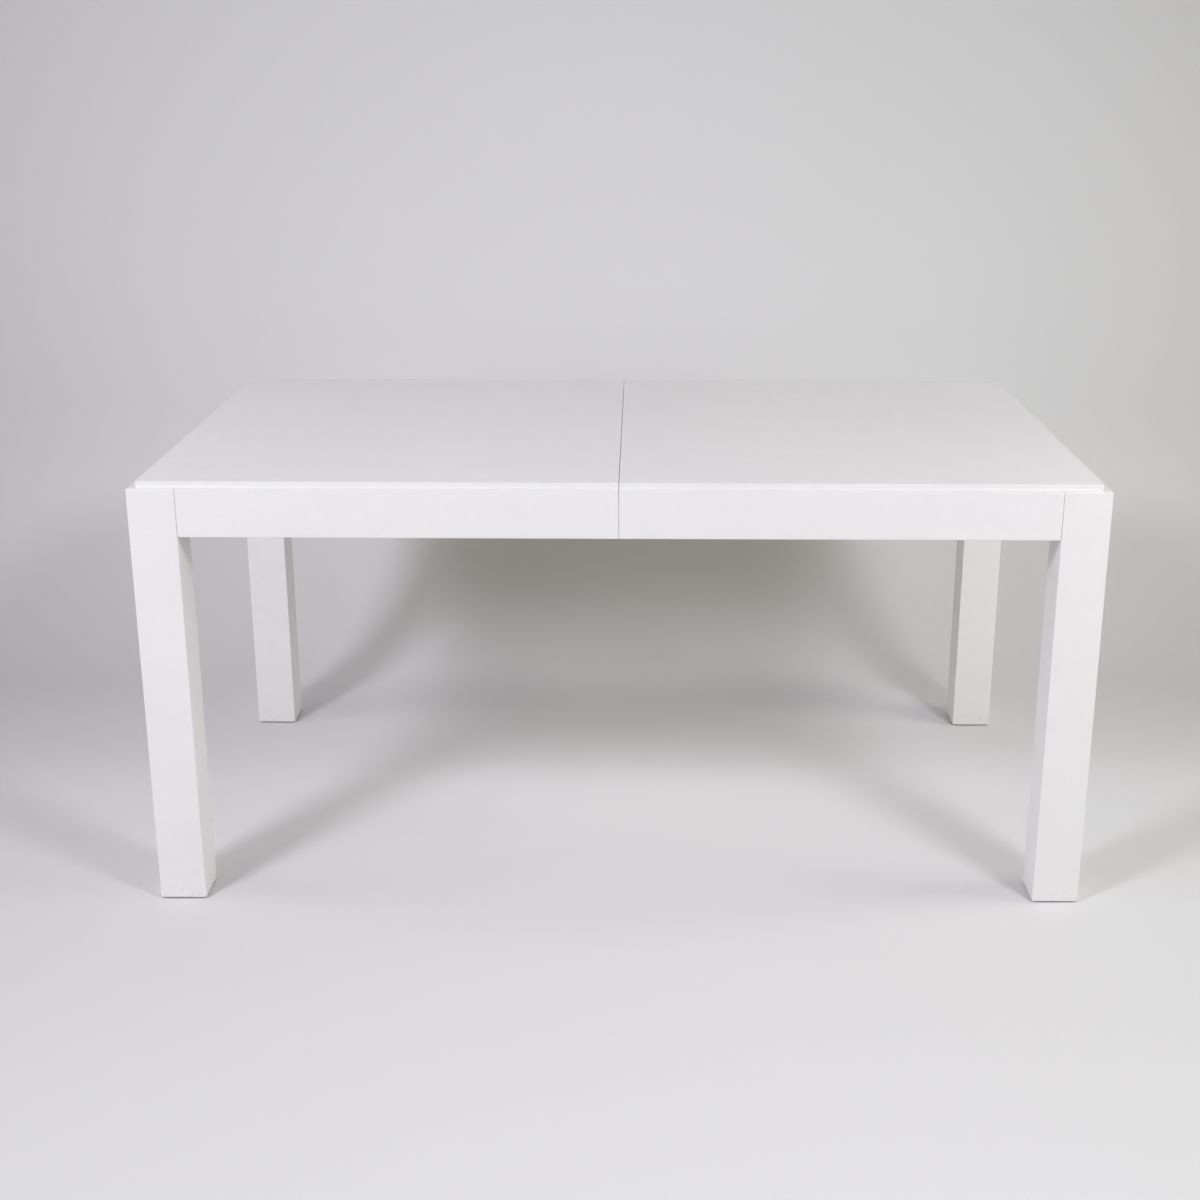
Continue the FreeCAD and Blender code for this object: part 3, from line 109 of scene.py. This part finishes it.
class Shader:
    """A material whose nodes are added and joined by name."""

    def __init__(self, name):
        self.material = bpy.data.materials.new(name)
        self.material.use_nodes = True
        self.tree = self.material.node_tree
        self.surface = self.tree.nodes["Principled BSDF"]
        self.places = self.add("ShaderNodeTexCoord").outputs["Object"]

    def add(self, kind, settings=None, **inputs):
        """A node with its settings, and its inputs given as numbers or as other nodes' outputs."""
        node = self.tree.nodes.new(kind)
        for key, value in (settings or {}).items():
            setattr(node, key, value)
        for key, value in inputs.items():
            self.join(node.inputs[key.replace("_", " ")], value)
        return node

    def join(self, socket, value):
        """Set a socket to a number or a colour, or link it to an output."""
        if isinstance(value, bpy.types.NodeSocket):
            self.tree.links.new(value, socket)
        else:
            socket.default_value = value

    def stretched(self, scale):
        """Coordinates multiplied along X, Y and Z: less than 1 draws features out."""
        node = self.add("ShaderNodeVectorMath", {"operation": "MULTIPLY"})
        self.join(node.inputs[0], self.places)
        node.inputs[1].default_value = scale
        return node.outputs[0]

    def noise(self, scale, detail=2.0, rough=0.5, places=None):
        """Noise from 0 to 1, at so many features to the metre."""
        node = self.add("ShaderNodeTexNoise", Scale=scale, Detail=detail, Roughness=rough)
        self.join(node.inputs["Vector"], places or self.places)
        return node.outputs["Fac"]

    def cells(self, scale, output="Distance", places=None):
        """Voronoi cells, at so many to the metre."""
        node = self.add("ShaderNodeTexVoronoi", Scale=scale)
        self.join(node.inputs["Vector"], places or self.places)
        return node.outputs[output]

    def maths(self, operation, first, second=0.0):
        """One sum on numbers."""
        node = self.add("ShaderNodeMath", {"operation": operation})
        self.join(node.inputs[0], first)
        self.join(node.inputs[1], second)
        return node.outputs[0]

    def plus(self, first, second):
        """A sum of two values."""
        return self.maths("ADD", first, second)

    def times(self, first, second):
        """A product of two values."""
        return self.maths("MULTIPLY", first, second)

    def shared(self, first, share, second):
        """A share of one value and the rest of the other."""
        return self.plus(self.times(first, share), self.times(second, 1.0 - share))

    def spread(self, value, low, high, to_low=0.0, to_high=1.0, smooth=False):
        """A value moved from one range to another and held inside it."""
        node = self.add("ShaderNodeMapRange", {"interpolation_type": "SMOOTHSTEP" if smooth else "LINEAR"})
        for key, number in zip(("Value", "From Min", "From Max", "To Min", "To Max"),
                               (value, low, high, to_low, to_high)):
            self.join(node.inputs[key], number)
        return node.outputs["Result"]

    def between(self, share, first, second):
        """A colour between two colours."""
        node = self.add("ShaderNodeMix", {"data_type": "RGBA"})
        self.join(node.inputs["Factor"], share)
        for socket, value in zip([s for s in node.inputs if s.type == "RGBA"], (first, second)):
            if isinstance(value, bpy.types.NodeSocket):
                self.join(socket, value)
            else:
                socket.default_value = (*value, 1.0)
        return [s for s in node.outputs if s.type == "RGBA"][0]

    def bumped(self, height, strength, distance, under=None):
        """Normals tilted by a height field, on top of another bump if one is given."""
        node = self.add("ShaderNodeBump", Strength=strength, Distance=distance)
        self.join(node.inputs["Height"], height)
        if under is not None:
            self.join(node.inputs["Normal"], under)
        return node.outputs[0]

    def rounded(self, radius):
        """Normals that run softly round the edges."""
        return self.add("ShaderNodeBevel", {"samples": EDGE_SAMPLES}, Radius=radius).outputs[0]

    def part_of(self, vector, axis):
        """One coordinate of a vector."""
        node = self.add("ShaderNodeSeparateXYZ")
        self.join(node.inputs[0], vector)
        return node.outputs[axis]

    def finish(self, colour=None, rough=None, normal=None, **constants):
        """Join what varies to the surface, and set what is the same all over on its own sockets."""
        for key, value in (("Base Color", colour), ("Roughness", rough), ("Normal", normal)):
            if value is not None:
                self.join(self.surface.inputs[key], value)
        for key, value in constants.items():
            self.surface.inputs[key.replace("_", " ")].default_value = value
        return self.material


def joint_shade(s, height):
    """Where an apron meets a leg: painted shade in the hairline gap of the joint, from the aprons' lower
    edge up.
    """
    near = []
    for axis, half in (("X", TABLE_HALF.x), ("Y", TABLE_HALF.y)):
        from_middle = s.maths("ABSOLUTE", s.part_of(s.places, axis))
        from_joint = s.maths("ABSOLUTE", s.maths("SUBTRACT", from_middle, half - LEG_SIDE))
        near.append(s.spread(from_joint, 0.0, JOINT_SHADE, 1.0, 0.0))
    beside_apron = s.spread(height, APRON_FOOT - JOINT_END, APRON_FOOT)
    return s.times(s.maths("MAXIMUM", near[0], near[1]), beside_apron)


def lacquer(name, has_run=False):
    """Satin white lacquer over wood: a faint orange peel, soft mottling, a few nibs and rubs.

    With a run, the lacquer stands a little thicker along the foot of the top's edges. Without one,
    painted shade darkens the hairline gaps where aprons meet legs.
    """
    s = Shader(name)
    broad = s.noise(2.3, detail=3.0)
    fine = s.noise(38.0, detail=3.0, rough=0.6)
    mottle = s.shared(broad, 0.6, fine)
    colour = s.between(s.spread(mottle, 0.35, 0.65), *LACQUER)

    height = s.part_of(s.places, "Z")
    near_floor = s.spread(height, *SCUFF_HEIGHTS, 1.0, 0.0, smooth=True)
    patchy = s.spread(s.noise(95.0, detail=4.0, rough=0.65), 0.5, 0.72)
    colour = s.between(s.times(s.times(near_floor, patchy), SCUFF_SHARE), colour, SCUFFED)
    if not has_run:
        # Painted shade in the hairline gaps where aprons meet legs.
        colour = s.between(s.times(joint_shade(s, height), JOINT_SHARE), colour, PAINTED_JOINT_SHADE)

    rubs = s.noise(26.0, places=s.stretched((1.0, 0.22, 1.0)))
    rough = s.spread(s.shared(rubs, 0.7, fine), 0.35, 0.68, *LACQUER_DULLNESS)

    edges = s.rounded(EDGE_PAINT)
    if has_run:
        run = s.spread(height, LEDGE, LEDGE + RUN_HEIGHT, 1.0, 0.0)
        edges = s.bumped(run, strength=1.0, distance=RUN_DEPTH, under=edges)
    peel = s.noise(420.0, detail=1.0, rough=0.4)
    nibs = s.spread(s.cells(160.0), 0.0, 0.07, 1.0, 0.0)
    normal = s.bumped(peel, strength=0.05, distance=0.0005, under=edges)
    normal = s.bumped(s.noise(60.0), strength=0.04, distance=0.001, under=normal)
    normal = s.bumped(nibs, strength=0.08, distance=0.0002, under=normal)
    return s.finish(colour, rough, normal, IOR=LACQUER_IOR)


def beech(name, along):
    """Planed beech whose grain runs along one axis: wandering rings, fine fibres and short rays."""
    s = Shader(name)

    def lengthened(share):
        """Coordinates in which features are drawn out along the grain."""
        return s.stretched([share if axis == along else 1.0 for axis in "XYZ"])

    sideways = [axis for axis in "XYZ" if axis != along]
    across = [s.plus(s.part_of(s.places, axis), away) for axis, away in zip(sideways, PITH_AWAY)]
    from_pith = s.maths("SQRT", s.plus(s.times(across[0], across[0]), s.times(across[1], across[1])))
    wander = s.noise(14.0, detail=4.0, rough=0.6, places=lengthened(0.06))
    radius = s.plus(from_pith, s.times(wander, RING_WANDER))
    rings = s.spread(s.maths("SINE", s.times(radius, RING_TURN)), -1.0, 1.0)
    ring_share = s.spread(s.noise(30.0, places=lengthened(0.1)), 0.35, 0.65, 0.06, 0.34)
    fibres = s.noise(950.0, detail=3.0, rough=0.6, places=lengthened(0.03))
    cloud = s.noise(5.0)
    tone = s.plus(s.times(fibres, 0.42), s.times(cloud, 0.34))
    tone = s.plus(tone, s.times(rings, ring_share))
    colour = s.between(s.spread(tone, 0.19, 0.84), *BEECH)

    rays = s.spread(s.cells(620.0, places=lengthened(0.22)), 0.0, 0.24, 1.0, 0.0)
    colour = s.between(s.times(rays, 0.32), colour, BEECH_RAYS)
    rough = s.spread(fibres, 0.3, 0.7, *BEECH_DULLNESS)
    normal = s.bumped(fibres, strength=0.14, distance=0.0004)
    normal = s.bumped(rays, strength=0.05, distance=0.0002, under=normal)
    return s.finish(colour, rough, normal)


def plated(name, colours, rolled="X"):
    """Plated metal: soft spangles, dull patches and fine marks along the way it was rolled or turned."""
    s = Shader(name)
    spangle = s.part_of(s.cells(260.0, output="Color"), "X")
    cloud = s.noise(70.0, detail=3.0, rough=0.6)
    lines = s.noise(1500.0, places=s.stretched([0.04 if axis == rolled else 1.0 for axis in "XYZ"]))
    colour = s.between(s.spread(s.shared(spangle, 0.35, cloud), 0.25, 0.75), *colours)
    rough = s.spread(s.shared(cloud, 0.6, lines), 0.3, 0.7, *METAL_DULLNESS)
    return s.finish(colour, rough, s.bumped(lines, strength=0.08, distance=0.0002), Metallic=1.0)


def nylon(name, colours, dullness, speckle):
    """Moulded nylon: a slightly cloudy colour, and a mould texture with so many speckles to the metre."""
    s = Shader(name)
    cloud = s.noise(45.0, detail=3.0, rough=0.6)
    grain = s.noise(speckle, rough=0.55)
    colour = s.between(s.spread(s.shared(cloud, 0.6, grain), 0.35, 0.65), *colours)
    rough = s.spread(grain, 0.3, 0.7, *dullness)
    return s.finish(colour, rough, s.bumped(grain, strength=0.1, distance=0.0003))


def paint(material, names):
    """Give CAD nodes a material."""
    for name in names:
        piece = frame["nodes"][name]
        for slot in piece.material_slots:
            slot.material = material
        if not piece.material_slots:
            piece.data.materials.append(material)


def nodes_in(slot):
    """The CAD nodes of one of the record's material slots."""
    return [part["node"] for part in frame["record"]["subparts"] if part["material_slot"] == slot]


def sorted_out(names, *words):
    """The names that hold one of some words, and the names that hold none."""
    held = [name for name in names if any(word in name for word in words)]
    return held, [name for name in names if name not in held]


TOPS, FRAMES = sorted_out(nodes_in("white_lacquer"), "top")
BEARERS, RAILS_AND_BLOCKS = sorted_out(nodes_in("hardwood"), "bearer")
FASTENERS, FITTINGS = sorted_out(nodes_in("zinc_steel"), "screws", "nails")
LEVERS, PLATES = sorted_out(FITTINGS, "lever")

paint(lacquer("satin_lacquer"), FRAMES)
paint(lacquer("satin_lacquer_top", True), TOPS)
paint(beech("beech_along_x", "X"), RAILS_AND_BLOCKS)
paint(beech("beech_along_y", "Y"), BEARERS)
paint(plated("zinc_plate", BRIGHT_ZINC), PLATES)
paint(plated("zinc_levers", DARK_ZINC, "Y"), LEVERS)
paint(plated("zinc_screws", YELLOW_ZINC, "Z"), FASTENERS)
paint(plated("turned_brass", BRASS), nodes_in("brass"))
paint(nylon("black_nylon", BLACK_NYLON, BLACK_NYLON_DULLNESS, 700.0), nodes_in("gear_nylon"))
paint(nylon("brown_nylon", BROWN_NYLON, BROWN_NYLON_DULLNESS, 600.0), nodes_in("glide_nylon"))


# ---------------------------------------------------------------------------------------------------------
# Studio: one sheet of paper that curves up behind the table. "Along" is measured on the sheet, from where
# its floor starts to curve, towards the rear and up.
# ---------------------------------------------------------------------------------------------------------

WALL_Y = 1.2
SWEEP = 0.55
SHEET_HALF = 6.0
SHEET_FRONT = -9.0
SHEET_TOP = 5.0
TILE = 0.1
QUARTER_TURN = math.pi / 2

# The sheet's far parts fade to the colour of the air between these distances from the table's middle.
MIDDLE = (0.0, 0.0, 0.5)
FADE_FROM = 2.4
FADE_TO = 4.4

# The paper's tone where it starts to curve, then painted light falloff: how it falls off to the sides up to
# the last place, how it changes along the sheet between two places, and how the fall leans to the right up
# the wall.
PAPER_TONE = 0.73 * math.exp(0.03)
SIDE_FALL = 0.123
SIDE_END = 1.8
ALONG_FALL = (0.026, 0.024, 0.011)
ALONG_ENDS = (-2.6, 1.9)
LEAN = 0.018

# Soft patches of painted shadow and painted light: how much paler (below 0: darker), their middle, half
# width and squareness in X, and their middle and half length along the sheet.
PAINTED_PATCHES = (
    (-0.115, 0.0, 0.38, 4, -0.2, 0.13),
    (0.075, 0.0, 0.66, 6, 0.07, 0.12),
    (0.16, 0.6, 0.12, 2, -0.15, 0.09),
)

# The deepest painted shade, on the curve right behind the table: its half width and squareness, where it
# starts, how soon it is full, where it starts to end, and how softly it ends.
DEEP_HALF = 0.52
DEEP_SQUARENESS = 8
DEEP_START = 0.17
DEEP_RISE = 0.33
DEEP_END = 0.5
DEEP_SOFTNESS = 0.25

# For red, green and blue: the paper's tint, and how much the deepest painted shade takes away.
PAPER_TINT = (1.0, 0.996, 1.024)
DEEP_TAKES = (0.41, 0.435, 0.52)


def sheet_point(along):
    """Depth and height of a place on the sheet."""
    turn = along / SWEEP
    if turn <= 0.0:
        return along + WALL_Y - SWEEP, 0.0
    if turn >= QUARTER_TURN:
        return WALL_Y, SWEEP + along - SWEEP * QUARTER_TURN
    return WALL_Y - SWEEP + SWEEP * math.sin(turn), SWEEP - SWEEP * math.cos(turn)


def ease(share):
    """A smooth step from 0 to 1."""
    share = max(0.0, min(1.0, share))
    return share * share * (3.0 - 2.0 * share)


def paper_and_painted_light(x, along):
    """How pale the paper is, with painted light falloff towards the sides and up the wall, and painted
    patches.
    """
    reach = max(ALONG_ENDS[0], min(ALONG_ENDS[1], along))
    change = -SIDE_FALL * min(abs(x), SIDE_END) ** 2 - LEAN * x * reach
    for power, fall in enumerate(ALONG_FALL, 1):
        change -= fall * reach ** power
    # Soft patches of painted shadow and painted light on the paper.
    for paler, x_middle, x_half, squareness, middle, half in PAINTED_PATCHES:
        change += paler * math.exp(-((x - x_middle) / x_half) ** squareness - ((along - middle) / half) ** 2)
    return PAPER_TONE * math.exp(change)


def painted_deep_shade(x, along):
    """How much of the deepest painted shade lies there."""
    past = max(along - DEEP_END, 0.0) / DEEP_SOFTNESS
    return math.exp(-(x / DEEP_HALF) ** DEEP_SQUARENESS - past ** 2) * ease((along - DEEP_START) / DEEP_RISE)


def stage_for_other_views(s):
    """Let other views see through the sheet's back, and its far parts fade to the colour of the air.

    Only what is seen or mirrored changes. Light meets the paper as before.
    """
    path = s.add("ShaderNodeLightPath").outputs
    seen = path["Is Camera Ray"]
    mirrored = s.maths("MAXIMUM", path["Is Glossy Ray"], path["Is Transmission Ray"])
    looked_at = s.maths("MAXIMUM", seen, mirrored)
    away = s.add("ShaderNodeVectorMath", {"operation": "DISTANCE"})
    s.join(away.inputs[0], s.places)
    away.inputs[1].default_value = MIDDLE
    far = s.spread(away.outputs["Value"], FADE_FROM, FADE_TO, smooth=True)
    behind = s.add("ShaderNodeNewGeometry").outputs["Backfacing"]

    shown = s.surface.outputs[0]
    for share, other in ((s.times(far, looked_at), s.add("ShaderNodeEmission", Color=(*AIR, 1.0))),
                         (s.times(behind, seen), s.add("ShaderNodeBsdfTransparent"))):
        mixed = s.add("ShaderNodeMixShader", Fac=share)
        s.join(mixed.inputs[1], shown)
        s.join(mixed.inputs[2], other.outputs[0])
        shown = mixed.outputs[0]
    s.join(s.tree.nodes["Material Output"].inputs["Surface"], shown)


def backdrop():
    """A seamless pale sheet under and behind the table, with painted light and painted shade in its colour.
    """
    columns = round(2 * SHEET_HALF / TILE)
    first = SHEET_FRONT - (WALL_Y - SWEEP)
    last = SHEET_TOP - SWEEP + SWEEP * QUARTER_TURN
    rows = round((last - first) / (TILE / 2))
    places = [(-SHEET_HALF + TILE * column, first + (last - first) * row / rows)
              for row in range(rows + 1)
              for column in range(columns + 1)]
    corners = [row * (columns + 1) + column for row in range(rows) for column in range(columns)]
    faces = [(k, k + 1, k + columns + 2, k + columns + 1) for k in corners]
    mesh = bpy.data.meshes.new("studio_sheet")
    mesh.from_pydata([(x, *sheet_point(along)) for x, along in places], [], faces)
    for face in mesh.polygons:
        face.use_smooth = True
    # The sheet's colour at each corner: the paper with painted light falloff, painted patches and painted
    # deep shade.
    paper_and_shade_tones = mesh.color_attributes.new("tone", "FLOAT_COLOR", "POINT")
    for (x, along), tone in zip(places, paper_and_shade_tones.data):
        level = paper_and_painted_light(x, along)
        shade = painted_deep_shade(x, along)
        red, green, blue = (level * share * math.exp(-taken * shade)
                            for share, taken in zip(PAPER_TINT, DEEP_TAKES))
        tone.color = (red, green, blue, 1.0)
    sheet = bpy.data.objects.new("studio_sheet", mesh)
    bpy.context.scene.collection.objects.link(sheet)
    s = Shader("studio_paper_and_painted_shade")
    painted = s.add("ShaderNodeAttribute", {"attribute_name": "tone"}).outputs["Color"]
    fibre = s.spread(s.noise(1.1), 0.3, 0.7, 0.0, FIBRE_SHARE)
    mesh.materials.append(s.finish(s.between(fibre, painted, PAPER_FIBRE), Roughness=PAPER_DULLNESS))
    stage_for_other_views(s)


backdrop()


# ---------------------------------------------------------------------------------------------------------
# Light
# ---------------------------------------------------------------------------------------------------------

COOL = (0.922, 0.928, 0.984)
PLAIN = (0.97, 0.963, 0.982)
ROSY = (1.0, 0.95, 0.953)
WARM = (0.975, 0.98, 0.87)
AMBIENT = (1.0, 0.943, 0.86)
AMBIENT_STRENGTH = 0.139

# Place, side and power of each lamp, its tint, and whether its highlights show.
LAMPS = {
    "high_left": ((-2.1, -2.7, 2.95), 0.7, 69.8, COOL, True),
    "high_right": ((2.1, -2.7, 2.95), 0.7, 27.3, PLAIN, True),
    "near_right": ((1.5, -2.0, 2.5), 0.5, 16.9, PLAIN, True),
    "low_left": ((-3.0, -2.0, 1.0), 1.2, 14.3, PLAIN, False),
    "low_right": ((3.0, -2.0, 1.0), 1.2, 12.0, WARM, False),
    "side_left": ((-3.0, -0.5, 1.5), 1.2, 15.6, ROSY, False),
    "side_right": ((3.0, -0.5, 1.5), 1.2, 30.2, WARM, False),
}


def softbox(name, place, size, power, tint, mirrored):
    """A square soft lamp at a place, turned to the middle of the table."""
    lamp = bpy.data.lights.new(name, "AREA")
    lamp.shape = "SQUARE"
    lamp.size = size
    lamp.energy = power
    lamp.color = tint
    thing = bpy.data.objects.new(name, lamp)
    thing.location = place
    thing.rotation_euler = (Vector(MIDDLE) - Vector(place)).to_track_quat("-Z", "Y").to_euler()
    thing.visible_camera = False
    thing.visible_glossy = mirrored
    bpy.context.scene.collection.objects.link(thing)


def world_light():
    """Weak light from all round, with the pale grey of the air where it is seen or mirrored."""
    world = bpy.data.worlds.new("studio_air")
    world.use_nodes = True
    tree = world.node_tree
    weak = tree.nodes["Background"]
    weak.inputs["Color"].default_value = (*AMBIENT, 1.0)
    weak.inputs["Strength"].default_value = AMBIENT_STRENGTH
    pale = tree.nodes.new("ShaderNodeBackground")
    pale.inputs["Color"].default_value = (*AIR, 1.0)
    path = tree.nodes.new("ShaderNodeLightPath")
    share = path.outputs["Is Camera Ray"]
    for ray in ("Is Glossy Ray", "Is Transmission Ray"):
        either = tree.nodes.new("ShaderNodeMath")
        either.operation = "MAXIMUM"
        tree.links.new(share, either.inputs[0])
        tree.links.new(path.outputs[ray], either.inputs[1])
        share = either.outputs[0]
    mixed = tree.nodes.new("ShaderNodeMixShader")
    tree.links.new(share, mixed.inputs["Fac"])
    tree.links.new(weak.outputs[0], mixed.inputs[1])
    tree.links.new(pale.outputs[0], mixed.inputs[2])
    tree.links.new(mixed.outputs[0], tree.nodes["World Output"].inputs["Surface"])
    bpy.context.scene.world = world


world_light()
for lamp_name, lamp_settings in LAMPS.items():
    softbox(lamp_name, *lamp_settings)


# ---------------------------------------------------------------------------------------------------------
# Camera: angles in degrees, lens and sensor in millimetres, shift as a share of the picture's width
# ---------------------------------------------------------------------------------------------------------

CAMERA_PLACE = (0.0352, -3.2402, 1.4618)
CAMERA_DOWN = 17.921
CAMERA_LEFT = 0.284
CAMERA_ROLL = 0.14
CAMERA_LENS = 52.32
CAMERA_SHIFT = -0.0263
SENSOR_WIDTH = 36.0
NEAREST_SEEN = 0.05


def camera():
    """The camera that sees the table as the photograph does."""
    down, left, roll = (math.radians(angle) for angle in (CAMERA_DOWN, CAMERA_LEFT, CAMERA_ROLL))
    ahead = Vector((-math.sin(left) * math.cos(down), math.cos(left) * math.cos(down), -math.sin(down)))
    level_right = ahead.cross(Vector((0.0, 0.0, 1.0))).normalized()
    level_up = level_right.cross(ahead)
    right = math.cos(roll) * level_right + math.sin(roll) * level_up
    up = math.cos(roll) * level_up - math.sin(roll) * level_right
    lens = bpy.data.cameras.new("studio_camera")
    lens.lens = CAMERA_LENS
    lens.sensor_width = SENSOR_WIDTH
    lens.sensor_fit = "HORIZONTAL"
    lens.shift_x = CAMERA_SHIFT
    lens.clip_start = NEAREST_SEEN
    thing = bpy.data.objects.new("studio_camera", lens)
    thing.matrix_world = Matrix.Translation(CAMERA_PLACE) @ Matrix((right, up, -ahead)).transposed().to_4x4()
    bpy.context.scene.collection.objects.link(thing)
    bpy.context.scene.camera = thing


camera()
bpy.context.scene.view_settings.view_transform = "Standard"
